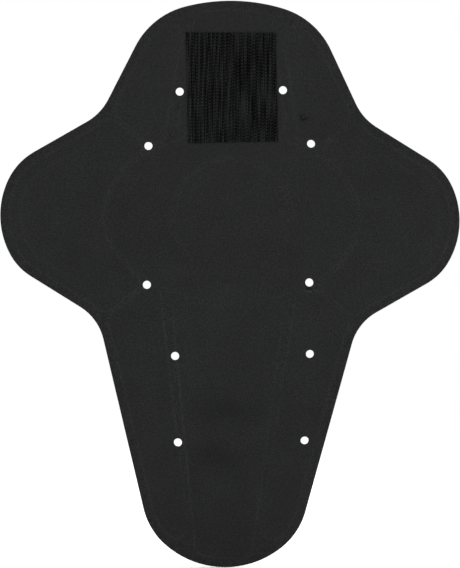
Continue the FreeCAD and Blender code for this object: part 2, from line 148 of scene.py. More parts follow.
SHEET_NODES = {"centre": "comfort_sheet_centre", "lumbar": "comfort_sheet_lumbar"}
SHEET_NODES.update({f"wing_{side}": f"comfort_sheet_wing_{side}" for side in SIDES})
SHEET_PLAN = plan(SHEET_NODES.values(), SHEET_FACE)

# The vents' circles, one size, which every layer shares.
VENTS = np.array([loop.mean(axis=0) for loop in SHEET_PLAN if area_of(loop) < 0])
VENT_RADIUS = max(np.linalg.norm(loop[0] - loop.mean(axis=0)) for loop in SHEET_PLAN if area_of(loop) < 0)
# The area that no vent reaches, in square metres.
VENT_AREA = 60 * MM * MM

# How finely loops are divided at the vents, and how close two points of a loop may lie.
VENT_STEP = 0.8 * MM
SHORTEST = 0.45 * MM


def vent_gap(points):
    """Distance from each point to the nearest vent's circle."""
    away = np.linalg.norm(np.asarray(points)[:, None] - VENTS[None], axis=2)
    return np.abs(away - VENT_RADIUS).min(axis=1)


def on_vent(points):
    return vent_gap(points) < 0.1 * MM


def from_vent(points, radius):
    """The points moved straight to or from their nearest vent's middle, to this radius."""
    middles = VENTS[np.linalg.norm(points[:, None] - VENTS[None], axis=2).argmin(axis=1)]
    return middles + radius * unit(points - middles)


def refined(loop, step):
    """The loop with long edges divided, points that all but coincide dropped and vents made round."""
    kept = [loop[0]]
    for point in loop[1:]:
        if np.linalg.norm(point - kept[-1]) > SHORTEST:
            kept.append(point)
    points = []
    for here, there in zip(kept, kept[1:] + kept[:1]):
        length = np.linalg.norm(there - here)
        is_arc = length < 2 * VENT_RADIUS and on_vent([here, there]).all()
        count = max(1, math.ceil(length / (VENT_STEP if is_arc else step)))
        run = here + (there - here) * np.arange(count)[:, None] / count
        points.append(from_vent(run, VENT_RADIUS) if is_arc else run)
    return np.concatenate(points)


def without_vents(loops):
    """The loops as they were before the vents were punched, each vent's bite closed by a straight line."""
    rest = []
    for loop in loops:
        hit = on_vent(loop)
        rest.append(loop[~(hit & np.roll(hit, 1) & np.roll(hit, -1))])
    return [loop for loop in rest if len(loop) > 2]


# Points are handled in batches, to spare memory.
BATCH = 4000


def distance(points, loops):
    """Distance from each point to the nearest edge of the loops."""
    best = np.full(len(points), 1.0)
    for loop in loops:
        step = np.roll(loop, -1, axis=0) - loop
        length = np.maximum((step**2).sum(1), 1e-18)
        for first in range(0, len(points), BATCH):
            batch = slice(first, first + BATCH)
            away = points[batch][:, None] - loop[None]
            along = np.clip((away * step[None]).sum(2) / length, 0, 1)
            gap = np.sqrt(((away - along[:, :, None] * step[None]) ** 2).sum(2)).min(1)
            best[batch] = np.minimum(best[batch], gap)
    return best


def inside(points, loops):
    """True for each point in the area that the loops enclose, holes left out."""
    crossings = np.zeros(len(points), int)
    for loop in loops:
        ax, az = loop.T
        bx, bz = np.roll(loop, -1, axis=0).T
        rise = np.where(bz == az, 1e-12, bz - az)
        for first in range(0, len(points), BATCH):
            batch = slice(first, first + BATCH)
            x, z = points[batch, 0:1], points[batch, 1:2]
            spans = (az[None] > z) != (bz[None] > z)
            crossings[batch] += (spans & (x < (bx - ax) * (z - az) / rise + ax)).sum(1)
    return crossings % 2 == 1


def offset_rows(loops, offsets):
    """Points beside each loop, at each offset along its inward normal, mitred at its corners."""
    rows = []
    for loop in loops:
        ahead = unit(np.roll(loop, -1, axis=0) - loop)
        along = unit(ahead + unit(loop - np.roll(loop, 1, axis=0)))
        mitre = 1 / np.maximum((along * ahead).sum(1), 0.4)
        inward = np.stack([-along[:, 1], along[:, 0]], axis=1) * mitre[:, None]
        rows += [loop + inward * offset for offset in offsets]
    return np.concatenate(rows)


def thinned(points, spacing, taken=()):
    """The points with those dropped that come closer than spacing to one kept before or to one taken."""
    cells = {}

    def cell(point):
        return int(math.floor(point[0] / spacing)), int(math.floor(point[1] / spacing))

    def crowded(point):
        i, j = cell(point)
        near = [q for a in (-1, 0, 1) for b in (-1, 0, 1) for q in cells.get((i + a, j + b), ())]
        return any(math.dist(point, q) < spacing for q in near)

    for point in taken:
        cells.setdefault(cell(point), []).append(point)
    kept = []
    for point in points:
        if not crowded(point):
            kept.append(point)
            cells.setdefault(cell(point), []).append(point)
    return np.array(kept).reshape(-1, 2)


def grid_points(loops, step):
    """A triangular grid over the loops' box."""
    low = np.min([loop.min(0) for loop in loops], axis=0)
    high = np.max([loop.max(0) for loop in loops], axis=0)
    points = []
    for row, z in enumerate(np.arange(low[1], high[1], step * 0.866)):
        shift = 0.5 * step * (row % 2)
        points += [(x + shift, z) for x in np.arange(low[0], high[0], step)]
    return np.array(points)


# ---------------------------------------------------------------- foam plates


def dip(gap, radius):
    """How far a rounded edge of this radius falls away, at this distance from the border."""
    inner = np.clip(radius - gap, 0, radius)
    return radius - np.sqrt(np.maximum(radius**2 - inner**2, 0))


def triangulate(border, extra_edges, points):
    """Triangles between the border loops and through the extra lines and points: (vertices, triangles)."""
    coords = []
    edges = []
    for loop in border:
        first = len(coords)
        coords += [Vector(p) for p in loop]
        edges += [(first + k, first + (k + 1) % len(loop)) for k in range(len(loop))]
    for line in extra_edges:
        first = len(coords)
        coords += [Vector(p) for p in line]
        edges += [(first + k, first + k + 1) for k in range(len(line) - 1)]
    coords += [Vector(p) for p in points]
    found = delaunay_2d_cdt(coords, edges, [], 0, 1e-7, False)
    vertices = np.array([(v.x, v.y) for v in found[0]])
    triangles = np.array([tuple(face) for face in found[2] if len(face) == 3])
    middles = vertices[triangles].mean(axis=1)
    return vertices, triangles[inside(middles, border)]


class Plate:
    """A foam plate between two Y values, from its plan, with rounded edges on both faces.

    rounds are the radii of the front's and the back's edges, and vent_round is the vents'. step is the
    size of the triangles. crown is how much lower the back lies at its edges than in its middle. shape
    gives, for (x, z) points, how far the front and the back are moved along Y. seams are lines, and rows
    are points, that the mesh follows.
    """

    BORDER_STEP = 2.5 * MM
    # How fast the swell grows away from the edges, and how far the dip at a vent counts as being from one.
    SWELL_REACH = 9 * MM
    VENT_SWELL = 4 * MM
    # Edges that turn more than this stay sharp.
    CREASE = math.radians(38)
    # Where rows of points follow a rounded edge, as shares of its radius. A shallow one has the last only.
    ROUND_SHARES = (0.1, 0.35, 0.7, 1.0)
    SHALLOW_ROUND = 0.8 * MM
    LIP_SHARES = (0.4, 1.0)
    # How far from the vents these rows end, how far from the border a vent's rings end, and what the
    # extra rows leave free beside the rounds and beside the vents.
    ROW_TO_VENT = 1.2 * MM
    RING_TO_BORDER = 0.3 * MM
    EXTRA_TO_ROUND = 0.6 * MM
    EXTRA_TO_VENT = 0.7 * MM

    def __init__(
        self, loops, front, back, rounds, vent_round, step, crown=0.0, shape=None, seams=(), rows=()
    ):
        border = [refined(loop, self.BORDER_STEP) for loop in loops]
        self.edges = without_vents(border)
        self.rounds = rounds
        self.vent_round = vent_round
        self.crown = crown
        self.shape = shape
        self.front = front
        self.back = back
        points = self.inner_points(border, step, rows)
        self.vertices, self.triangles = triangulate(border, seams, points)
        self.gap = distance(self.vertices, self.edges)
        self.vent_gap = vent_gap(self.vertices)

    def inner_points(self, border, step, rows):
        """Rows of points over the rounds and round the vents, the extra rows, and a grid over the rest."""
        deepest = max(self.rounds)
        shares = self.ROUND_SHARES if deepest > self.SHALLOW_ROUND else self.ROUND_SHARES[-1:]
        points = []
        for offset in [deepest * share for share in shares]:
            row = offset_rows(self.edges, [offset])
            points.append(row[distance(row, self.edges) > 0.97 * offset])
        points = np.concatenate(points)
        points = points[vent_gap(points) > self.ROW_TO_VENT]
        lips = np.concatenate([loop[on_vent(loop)] for loop in border])
        if len(lips):
            rings = [from_vent(lips, VENT_RADIUS + self.vent_round * share) for share in self.LIP_SHARES]
            rings = np.concatenate(rings)
            rings = rings[distance(rings, self.edges) > self.RING_TO_BORDER]
            points = np.concatenate([points, rings])
        points = points[inside(points, border)]
        if len(rows):
            rows = rows[inside(rows, border)]
            rows = rows[distance(rows, self.edges) > deepest + self.EXTRA_TO_ROUND]
            rows = rows[vent_gap(rows) > self.EXTRA_TO_VENT]
            points = np.concatenate([points, rows])
        grid = grid_points(self.edges, step)
        grid = grid[inside(grid, border)]
        grid = grid[(distance(grid, self.edges) > deepest + 0.5 * step) & (vent_gap(grid) > 0.3 * step)]
        return np.concatenate([points, thinned(grid, 0.6 * step, points)])

    def faces_at(self, chosen):
        """Y of the front and back faces at these vertices."""
        gap, at_vents = self.gap[chosen], self.vent_gap[chosen]
        lip = dip(at_vents, self.vent_round)
        front = self.front + np.maximum(dip(gap, self.rounds[0]), lip)
        swell = self.crown * np.exp(-np.minimum(gap, at_vents + self.VENT_SWELL) / self.SWELL_REACH)
        back = self.back - np.maximum(dip(gap, self.rounds[1]), lip) - swell
        if self.shape:
            moved = self.shape(self.vertices[chosen])
            front, back = front + moved[0], back + moved[1]
        return front, back

    def part(self, name, where=None):
        """A closed mesh object of the part of the plate whose triangles' middles pass the test."""
        middles = self.vertices[self.triangles].mean(axis=1)
        triangles = self.triangles if where is None else self.triangles[where(middles[:, 0], middles[:, 1])]
        chosen = np.unique(triangles)
        order = {int(v): k for k, v in enumerate(chosen)}
        xz = self.vertices[chosen]
        faces = [counter_clockwise(xz, tuple(order[int(v)] for v in t)) for t in triangles]
        front, back = self.faces_at(chosen)
        count = len(chosen)
        points = [(x, y, z) for side in (front, back) for (x, z), y in zip(xz, side)]
        back_faces = [tuple(count + v for v in reversed(face)) for face in faces]
        wall_points, walls = self.walls(points, faces, count)
        mesh = bpy.data.meshes.new(name)
        mesh.from_pydata(points + wall_points, [], faces + back_faces + walls)
        mesh.validate()
        mesh.shade_smooth()
        mesh.set_sharp_from_angle(angle=self.CREASE)
        give(mesh, "cut", [0.0] * len(points) + [1.0] * len(wall_points))
        piece = bpy.data.objects.new(name, mesh)
        bpy.context.scene.collection.objects.link(piece)
        return piece

    def walls(self, points, faces, count):
        """Side walls with one row of points half way up."""
        border = {}
        for face in faces:
            for edge in zip(face, face[1:] + face[:1]):
                if border.pop(edge[::-1], None) is None:
                    border[edge] = True
        ring = sorted({v for edge in border for v in edge})
        middle = {v: 2 * count + k for k, v in enumerate(ring)}
        wall_points = [tuple((a + b) / 2 for a, b in zip(points[v], points[count + v])) for v in ring]
        walls = []
        for a, b in border:
            walls.append((b, a, middle[a], middle[b]))
            walls.append((middle[b], middle[a], count + a, count + b))
        return wall_points, walls


def give(mesh, name, values):
    """Stores one number per vertex in the mesh, for its material to read."""
    attribute = mesh.attributes.new(name, "FLOAT", "POINT")
    attribute.data.foreach_set("value", np.array(values, np.float32))


def counter_clockwise(xz, face):
    (ax, az), (bx, bz), (cx, cz) = (xz[v] for v in face)
    return face if (bx - ax) * (cz - az) - (bz - az) * (cx - ax) > 0 else face[::-1]


# ---------------------------------------------------------------- materials


def new_material(name):
    material = bpy.data.materials.new(name)
    material.use_nodes = True
    tree = material.node_tree
    return material, tree, tree.nodes["Principled BSDF"]


def add(tree, kind, **settings):
    node = tree.nodes.new(kind)
    for key, setting in settings.items():
        if key in node.inputs:
            node.inputs[key].default_value = setting
        else:
            setattr(node, key, setting)
    return node


def noise(tree, place, scale, detail, roughness=0.5):
    node = add(tree, "ShaderNodeTexNoise", Scale=scale, Detail=detail, Roughness=roughness)
    tree.links.new(place, node.inputs["Vector"])
    return node.outputs["Fac"]


def ramp(tree, factor, stops):
    """A colour ramp from (position, grey or colour) stops."""
    node = tree.nodes.new("ShaderNodeValToRGB")
    elements = node.color_ramp.elements
    while len(elements) < len(stops):
        elements.new(0.5)
    for element, (position, colour) in zip(elements, stops):
        element.position = position
        element.color = (*colour, 1) if hasattr(colour, "__len__") else (colour, colour, colour, 1)
    tree.links.new(factor, node.inputs["Fac"])
    return node.outputs["Color"]


def mix(tree, blend, factor, first, second):
    """A colour mix. factor, first and second are sockets or plain values."""
    node = tree.nodes.new("ShaderNodeMix")
    node.data_type = "RGBA"
    node.blend_type = blend
    for index, given in ((0, factor), (6, first), (7, second)):
        if isinstance(given, bpy.types.NodeSocket):
            tree.links.new(given, node.inputs[index])
        elif index:
            node.inputs[index].default_value = (*given, 1)
        else:
            node.inputs[index].default_value = given
    return node.outputs[2]


def bump(tree, height, strength, depth, normal=None):
    node = add(tree, "ShaderNodeBump", Strength=strength, Distance=depth)
    tree.links.new(height, node.inputs["Height"])
    if normal is not None:
        tree.links.new(normal, node.inputs["Normal"])
    return node.outputs["Normal"]


def number(tree, operation, first, second, third=None):
    """A math node. first, second and third are sockets or plain values."""
    node = tree.nodes.new("ShaderNodeMath")
    node.operation = operation
    for index, given in enumerate((first, second, third)):
        if isinstance(given, bpy.types.NodeSocket):
            tree.links.new(given, node.inputs[index])
        elif given is not None:
            node.inputs[index].default_value = given
    return node.outputs[0]


def read(tree, name):
    """A number that the mesh holds at each point."""
    node = tree.nodes.new("ShaderNodeAttribute")
    node.attribute_name = name
    return node.outputs["Fac"]


# Unevenness of the foam's shade, from slow to fine, as (scale, swing).
GRAIN = ((12, 0.06), (50, 0.06), (300, 0.1), (800, 0.44), (2000, 0.3))
# How much paler a pressed line, partly a press mark and partly painted sheen, and a cut side are.
PRESS_AND_PAINTED_SHEEN = 0.27
CUT_SHADE = 0.3


def foam_material(name, colour, grain, pores):
    """Closed-cell foam: a fine uneven grain, sparse round pores and slow patches, paler on its cut sides.

    The mesh's pale lines are partly press marks and partly painted sheen, its tone darkens or lightens,
    with painted shade and a painted highlight at the punch's print, and its cut is 1 on cut sides.
    """
    material, tree, shader = new_material(name)
    place = tree.nodes.new("ShaderNodeTexCoord").outputs["Object"]
    cells = add(tree, "ShaderNodeTexVoronoi", Scale=1500)
    tree.links.new(place, cells.inputs["Vector"])
    shades = tree.nodes.new("ShaderNodeSeparateColor")
    tree.links.new(cells.outputs["Color"], shades.inputs["Color"])
    fine = noise(tree, place, 2600, 2, 0.6)
    body = colour
    for scale, swing in GRAIN:
        patch = noise(tree, place, scale, 2)
        body = mix(tree, "MULTIPLY", 1.0, body, ramp(tree, patch, [(0.3, 1 - swing), (0.7, 1 + swing)]))
    middle = ramp(tree, cells.outputs["Distance"], [(0.2, 1.0), (0.45, 0.0)])
    pore = number(tree, "MULTIPLY", middle, ramp(tree, shades.outputs["Green"], [(0.90, 0.0), (0.94, 1.0)]))
    body = mix(tree, "MULTIPLY", 1.0, body, number(tree, "MULTIPLY_ADD", pore, -pores, 1.0))
    uneven = ramp(tree, noise(tree, place, 35, 2), [(0.35, 0.4), (0.65, 1.0)])
    # Pale lines at the blocks' edges, partly press marks and partly painted sheen.
    press = number(tree, "MULTIPLY", read(tree, "press"), uneven)
    shade = number(tree, "MULTIPLY_ADD", press, PRESS_AND_PAINTED_SHEEN, 1.0)
    # The tone holds the smudges and marks, with painted shade in the print's slit and a painted highlight on
    # its lip.
    shade = number(tree, "ADD", shade, read(tree, "tone"))
    shade = number(tree, "MULTIPLY_ADD", read(tree, "cut"), CUT_SHADE, shade)
    body = mix(tree, "MULTIPLY", 1.0, body, shade)
    tree.links.new(body, shader.inputs["Base Color"])
    tree.links.new(ramp(tree, fine, [(0.25, 0.8), (0.75, 0.98)]), shader.inputs["Roughness"])
    shader.inputs["Specular IOR Level"].default_value = 0.09
    shader.inputs["Sheen Weight"].default_value = 0.04
    shader.inputs["Sheen Roughness"].default_value = 0.6
    shaped = bump(tree, cells.outputs["Distance"], grain, 0.15 * MM)
    shaped = bump(tree, fine, 0.5 * grain, 0.1 * MM, shaped)
    tree.links.new(shaped, shader.inputs["Normal"])
    return material


def streaks(tree, low, high):
    """Slow long streaks along the hook tape, a hook column wide, from low to high."""
    place = tree.nodes.new("ShaderNodeTexCoord").outputs["Object"]
    stretched = add(tree, "ShaderNodeMapping", Rotation=(0, TAPE_TURN, 0), Scale=(520, 1, 26))
    tree.links.new(place, stretched.inputs["Vector"])
    streak = noise(tree, stretched.outputs["Vector"], 1.0, 1.5, 0.5)
    return ramp(tree, streak, [(0.36, low), (0.5, 0.35 * high + 0.65 * low), (0.64, high)])


def weave_material(name):
    """The woven ground of the hook tape, with painted shade in its pits and under each chevron.
    The mesh's value is 1 on the threads, 0 in the pits and lower near the hooks.
    """
    material, tree, shader = new_material(name)
    place = tree.nodes.new("ShaderNodeTexCoord").outputs["Object"]
    fibres = noise(tree, place, 2200, 2, 0.6)
    relief = read(tree, "relief")
    # Painted shade: dark where the mesh's value is low, in the weave's pits and under the chevrons.
    colour = mix(tree, "MIX", relief, (0.0005, 0.0006, 0.0006), (0.0080, 0.0084, 0.0084))
    colour = mix(tree, "MULTIPLY", 1.0, colour, ramp(tree, fibres, [(0.3, 0.7), (0.7, 1.3)]))
    colour = mix(tree, "MULTIPLY", 1.0, colour, streaks(tree, 0.35, 2.4))
    tree.links.new(colour, shader.inputs["Base Color"])
    shader.inputs["Roughness"].default_value = 0.9
    shader.inputs["Specular IOR Level"].default_value = 0.01
    tree.links.new(bump(tree, fibres, 0.5, 0.08 * MM), shader.inputs["Normal"])
    return material


def nylon_material(name):
    """Black nylon hooks, paler and darker in long streaks."""
    material, tree, shader = new_material(name)
    place = tree.nodes.new("ShaderNodeTexCoord").outputs["Object"]
    speck = noise(tree, place, 700, 2)
    uneven = ramp(tree, speck, [(0.35, 0.55), (0.65, 1.4)])
    colour = mix(tree, "MULTIPLY", 0.6, streaks(tree, 0.006, 0.024), uneven)
    tree.links.new(colour, shader.inputs["Base Color"])
    shader.inputs["Roughness"].default_value = 0.45
    shader.inputs["Specular IOR Level"].default_value = 0.2
    tree.links.new(bump(tree, speck, 0.3, 0.05 * MM), shader.inputs["Normal"])
    return material


def plain_material(name, colour, roughness):
    material, tree, shader = new_material(name)
    place = tree.nodes.new("ShaderNodeTexCoord").outputs["Object"]
    grain = noise(tree, place, 500, 3)
    dark = tuple(0.9 * c for c in colour)
    tree.links.new(mix(tree, "MIX", grain, dark, colour), shader.inputs["Base Color"])
    shader.inputs["Roughness"].default_value = roughness
    tree.links.new(bump(tree, grain, 0.2, 0.05 * MM), shader.inputs["Normal"])
    return material


# ---------------------------------------------------------------- foam pieces


def blend_across(piece):
    """Bakes the placement of a piece of foam from a wing or the lumbar part into its mesh."""
    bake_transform(piece)


def finish_foam(piece, material, slot, body, *nodes):
    """Gives a piece of foam its material, attaches it to the centre body when that is its body, and hides
    the CAD nodes that it stands for. The slot is not used.
    """
    piece.data.materials.append(material)
    if body == "centre":
        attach(piece, "centre")
    else:
        blend_across(piece)
    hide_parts(*nodes)


BLOCKS = {name: "centre" for name in ("nape", "head_left", "head_right", "ring", "disc")}
BLOCKS.update({f"wing_{side}": f"wing_{side}" for side in SIDES})
BLOCKS.update({f"lumbar_{name}": "lumbar" for name in ("spine", "left", "right")})

# CAD nodes for the ends of blocks beyond a flex line. The three lumbar blocks share one.
BLOCK_ENDS = {f"wing_{side}": [f"wing_{side}_horns"] for side in SIDES}
BLOCK_ENDS["lumbar_spine"] = ["lumbar_tops"]

# Rounded edges of the blocks, as (front, back), and of their vents, the upper blocks' swell, and how fine
# the meshes are.
LOWER_ROUNDS = (0.3 * MM, 1.2 * MM)
UPPER_ROUNDS = (0.3 * MM, 3 * MM)
UPPER_CROWN = 0.4 * MM
BLOCK_VENT_ROUND = 0.5 * MM
BLOCK_STEP = 8 * MM


def cad_nodes(block, layer):
    """The CAD nodes that a block stands for."""
    return [f"{name}_{layer}" for name in [block, *BLOCK_ENDS.get(block, [])]]


def block_plans(layer, y):
    """The loops of each block on the layer's face at this Y."""
    every = plan([node for block in BLOCKS for node in cad_nodes(block, layer)], y)
    plans = {}
    for block in BLOCKS:
        own = {edge[0] for edge in border_edges(f"{block}_{layer}", y)}
        plans[block] = [loop for loop in every if any(tuple(point) in own for point in loop.tolist())]
    return plans


def waves(points, length):
    """Slow unevenness from 0 to 1 with humps of about this length."""
    return np.array([0.5 + 0.5 * noise_at(Vector((x, 0, z)) / length) for x, z in points])


def settle(points):
    """The upper blocks' outer face, a little uneven, as foam that was pressed and cooled."""
    return np.zeros(len(points)), -0.25 * MM * waves(points, 45 * MM)


def make_blocks(layer, front, back, rounds, crown, material, plans, shape=None):
    """One layer of foam blocks."""
    for block, body in BLOCKS.items():
        plate = Plate(plans[block], front, back, rounds, BLOCK_VENT_ROUND, BLOCK_STEP, crown, shape)
        piece = plate.part(f"{block}_{layer}_foam")
        finish_foam(piece, material, f"impact_foam_{layer}", body, *cad_nodes(block, layer))


class SheetFace:
    """The shape of the comfort sheet's face, and what its material reads.

    The edges of the blocks behind show through as a shallow step with a faint pale line, partly a press mark
    and partly painted sheen, the free rim curls back a little, and the face has a stray print of the punch,
    with painted shade in its slit and a painted highlight on its lip, a scuff and a few faint smudges.
    """

    # The step at a block's edge: its depth, where it starts on the block, and the run that it takes.
    STEP = 0.2 * MM
    STEP_START = 1.2 * MM
    STEP_RUN = 2.6 * MM
    # How far the outline curls back, and how wide the rim is that curls.
    CURL = 0.8 * MM
    RIM = 7 * MM
    LINE_WIDTH = 0.9 * MM
    DENT_WIDTH = 0.6 * MM
    # A second faint line runs round each wing's end, inside the outline and this far out from the spine.
    INNER_LINE = 17 * MM
    INNER_WIDTH = 1.0 * MM
    INNER_START = 120 * MM
    INNER_FADE = 20 * MM
    # How plainly the edge of a block shows through.
    PLAINNESS = {"ring": 0.8, "lumbar_left": 1.8, "lumbar_right": 1.2}
    PLAINNESS.update({"wing_left": 1.6, "wing_right": 1.5, "head_left": 1.2, "head_right": 1.3})
    # The same on the left and right of the lumbar spine block. The edges beside it hardly show, this near.
    SPINE_PLAINNESS = (1.8, 0.9)
    BESIDE_SPINE = 6 * MM
    # The oval below the ring where the edges hardly show.
    HIDDEN_MIDDLE = np.array([5, -17]) * MM
    HIDDEN_RADII = np.array([52, 12]) * MM

    def __init__(self, blocks):
        self.outline = [loop for loop in SHEET_PLAN if area_of(loop) > 0]
        self.blocks = {
            name: [refined(loop, 2 * MM) for loop in loops if abs(area_of(loop)) > VENT_AREA]
            for name, loops in blocks.items()
        }
        self.borders = [loop for loops in self.blocks.values() for loop in loops]
        rows = sorted(VENTS.tolist(), key=lambda vent: -vent[1])
        pairs = [sorted(rows[k : k + 2]) for k in range(0, len(rows), 2)]
        shoulder, loin = np.array(pairs[1][1]), np.array(pairs[2][1])
        # The punch's stray print below the loin vent, and the scuff's two strokes above the shoulder vent.
        turns = np.radians(np.arange(236, 305, 6))
        print_arc = np.stack([3.4 * np.cos(turns), 3.4 * np.sin(turns)], axis=1)
        slit = loin + (print_arc + (0, -2.3)) * MM
        lip = loin + (0.7 * print_arc + (0, -5.2)) * MM
        scuff = shoulder + np.array([[-9.0, 23.4], [-8.8, 21.6], [-7.4, 19.9]]) * MM
        nick = shoulder + np.array([[-4.4, 21.1], [-5.4, 20.8], [-7.0, 19.2]]) * MM
        # Each dent is (line, depth, shade): the print's slit is darkened with painted shade and its raised
        # lip lightened with a painted highlight, and the scuff and nick are darker along their lines. Each
        # smudge is (middle, radii, shade), in millimetres.
        self.dents = [
            (slit, 0.6 * MM, -1.0),
            (lip, -0.15 * MM, 1.2),
            (scuff, 0.25 * MM, -1.0),
            (nick, 0.3 * MM, -1.0),
        ]
        self.smudges = [
            ((-3, -107), (29, 10), -0.28),
            ((-7, -144), (25, 13), -0.28),
            ((10, -132), (20, 9), 0.1),
            ((-40, 10), (15, 5), 0.16),
            ((2, -7), (16, 5), 0.12),
            ((55, -41), (10, 18), 0.12),
        ]

    def off_blocks(self, points):
        """Distance to the blocks' borders, negative on the blocks."""
        gap = distance(points, self.borders)
        return np.where(inside(points, self.borders), -gap, gap)

    def rim(self, points):
        """From 0 at the blocks' edge to 1 at the outline."""
        return np.clip(1 - distance(points, self.outline) / self.RIM, 0, 1)

    def dent(self, points, line):
        """From 1 on a dent's line to 0 beside it."""
        gap = distance(points, [np.concatenate([line, line[::-1]])])
        return np.exp(-((gap / self.DENT_WIDTH) ** 2))

    def shape(self, points):
        """How far the face and the back are moved along Y."""
        away = np.clip((self.off_blocks(points) + self.STEP_START) / self.STEP_RUN, 0, 1)
        curl = self.CURL * self.rim(points) ** 2
        front = self.STEP * away * away * (3 - 2 * away) + curl + 0.1 * MM * waves(points, 60 * MM)
        for line, depth, _ in self.dents:
            front = front + depth * self.dent(points, line)
        return front, curl

    def press(self, points):
        """How plainly a faint pale line shows, partly a press mark and partly painted sheen."""
        press = np.zeros(len(points))
        spine = distance(points, self.blocks["lumbar_spine"])
        clear_of_spine = 1 - np.exp(-((spine / self.BESIDE_SPINE) ** 4))
        for name, loops in self.blocks.items():
            plainness = self.PLAINNESS.get(name, 1.0)
            if name == "lumbar_spine":
                plainness = np.where(points[:, 0] < 0, *self.SPINE_PLAINNESS)
            elif name.startswith("lumbar"):
                plainness = plainness * clear_of_spine
            line = np.exp(-((distance(points, loops) / self.LINE_WIDTH) ** 2))
            press = np.maximum(press, plainness * line)
        gap = distance(points, self.outline) - self.INNER_LINE
        on_wings = np.clip((np.abs(points[:, 0]) - self.INNER_START) / self.INNER_FADE, 0, 1)
        press = np.maximum(press, on_wings * np.exp(-((gap / self.INNER_WIDTH) ** 2)))
        gap = np.linalg.norm((points - self.HIDDEN_MIDDLE) / self.HIDDEN_RADII, axis=1)
        return press * (1 - 0.75 * np.exp(-(gap**4)))

    def tone(self, points):
        """How much darker or paler the marks and smudges are, with painted shade in the print's slit and a
        painted highlight on its lip.
        """
        tone = np.zeros(len(points))
        for line, _, shade in self.dents:
            tone += shade * self.dent(points, line)
        for centre, radii, shade in self.smudges:
            gap = np.linalg.norm((points - np.array(centre) * MM) / (np.array(radii) * MM), axis=1)
            tone += shade * np.exp(-(gap**2)) * (0.6 + 0.8 * waves(points, 9 * MM))
        return tone

    def rows(self):
        """Extra points for the mesh, where its face has fine shape."""
        shifts = np.array([(0, 0), (0.5, 0), (-0.5, 0), (0, 0.5), (0, -0.5), (0, 1), (0, -1)]) * MM
        lines = [refined(dent[0], 0.5 * MM) for dent in self.dents]
        close = thinned(np.concatenate([line + shift for shift in shifts for line in lines]), 0.35 * MM)
        beside = offset_rows(self.borders, [2.7 * MM, 1.3 * MM, 0, -1.3 * MM, -2.7 * MM])
        outline = [refined(loop, 2 * MM) for loop in self.outline]
        inner = offset_rows(outline, [self.INNER_LINE + shift for shift in (-1.2 * MM, 0, 1.2 * MM)])
        inner = inner[np.abs(inner[:, 0]) > self.INNER_START]
        return np.concatenate([close, thinned(np.concatenate([beside, inner]), 1.1 * MM, close)])


def seam(start, end, step=5 * MM):
    """Points along a straight line, a step apart or less."""
    start, end = np.array(start), np.array(end)
    count = math.ceil(np.linalg.norm(end - start) / step)
    return [start + (end - start) * k / count for k in range(count + 1)]


SHEET_ROUNDS = (0.5 * MM, 0.4 * MM)
SHEET_VENT_ROUND = 0.15 * MM
SHEET_STEP = 6 * MM
# A length past the outline, for the ends of the seams.
BEYOND = 0.3


def make_sheet(material, lower):
    """The comfort sheet: one cut of foam, in four pieces that meet where the bends begin."""
    face = SheetFace(lower)
    left = WING_LINE["left"] + BEND_BEFORE
    right = WING_LINE["right"] - BEND_BEFORE
    low = LUMBAR_LINE + BEND_BEFORE
    seams = [seam((x, low), (x, BEYOND)) for x in (left, right)]
    seams.append(seam((-BEYOND, low), (BEYOND, low)))
    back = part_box("comfort_sheet_centre")[1].y
    plate = Plate(
        SHEET_PLAN, SHEET_FACE, back, SHEET_ROUNDS, SHEET_VENT_ROUND, SHEET_STEP,
        shape=face.shape, seams=seams, rows=face.rows(),
    )
    areas = {
        "centre": lambda x, z: (z > low) & (x > left) & (x < right),
        "lumbar": lambda x, z: z < low,
        "wing_left": lambda x, z: (z > low) & (x < left),
        "wing_right": lambda x, z: (z > low) & (x > right),
    }
    for body, where in areas.items():
        piece = plate.part(SHEET_NODES[body] + "_foam", where)
        co = np.array([v.co for v in piece.data.vertices])
        on_face = co[:, 1] < SHEET_FACE + 1.5 * MM
        # Pale lines, partly press marks and partly painted sheen.
        give(piece.data, "press", face.press(co[:, [0, 2]]) * on_face)
        # Smudges and marks, with painted shade in the print's slit and a painted highlight on its lip.
        give(piece.data, "tone", face.tone(co[:, [0, 2]]) * on_face)
        finish_foam(piece, material, "comfort_foam", body, SHEET_NODES[body])


# ---------------------------------------------------------------- hook tape

HOOK_PITCH = 3.4 * MM
ROW_PITCH = 2.7 * MM
HOOK_RADIUS = 0.15 * MM
# A hook leans this far over from its foot and sags this far towards the tape's lower end.
HOOK_REACH = 0.95 * MM
HOOK_SAG = -1.0 * MM
# How far a hook's foot stands from the middle of its column, and the second of a pair above the first.
HOOK_FOOT = 1.0 * MM
HOOK_BESIDE = 0.55 * MM
HOOK_DRIFT = 0.12 * MM
# The share of the hooks that is missing.
MISSING_HOOKS = 0.04
WARP_PITCH = HOOK_PITCH / 3
WEFT_PITCH = ROW_PITCH / 3
TAPE_PLAN = sorted(plan(["tape_weave"], TAPE_FACE)[0].tolist(), key=lambda p: p[1])
TAPE_LEFT, TAPE_RIGHT = sorted(TAPE_PLAN[:2])
TAPE_TURN = math.atan2(TAPE_RIGHT[1] - TAPE_LEFT[1], TAPE_RIGHT[0] - TAPE_LEFT[0])
TAPE_WIDTH = math.dist(TAPE_LEFT, TAPE_RIGHT)
TAPE_TOP_LEFT, TAPE_TOP_RIGHT = sorted(TAPE_PLAN[2:])
TAPE_HEIGHTS = (math.dist(TAPE_LEFT, TAPE_TOP_LEFT), math.dist(TAPE_RIGHT, TAPE_TOP_RIGHT))


def on_tape(across, up, y):
    """A point from its place on the tape: across and up from the tape's lower left corner."""
    c, s = math.cos(TAPE_TURN), math.sin(TAPE_TURN)
    return Vector((TAPE_LEFT[0] + across * c - up * s, y, TAPE_LEFT[1] + across * s + up * c))


def tape_top(across):
    """Height of the tape's cut upper edge, this far across."""
    share = across / TAPE_WIDTH
    return TAPE_HEIGHTS[0] * (1 - share) + TAPE_HEIGHTS[1] * share


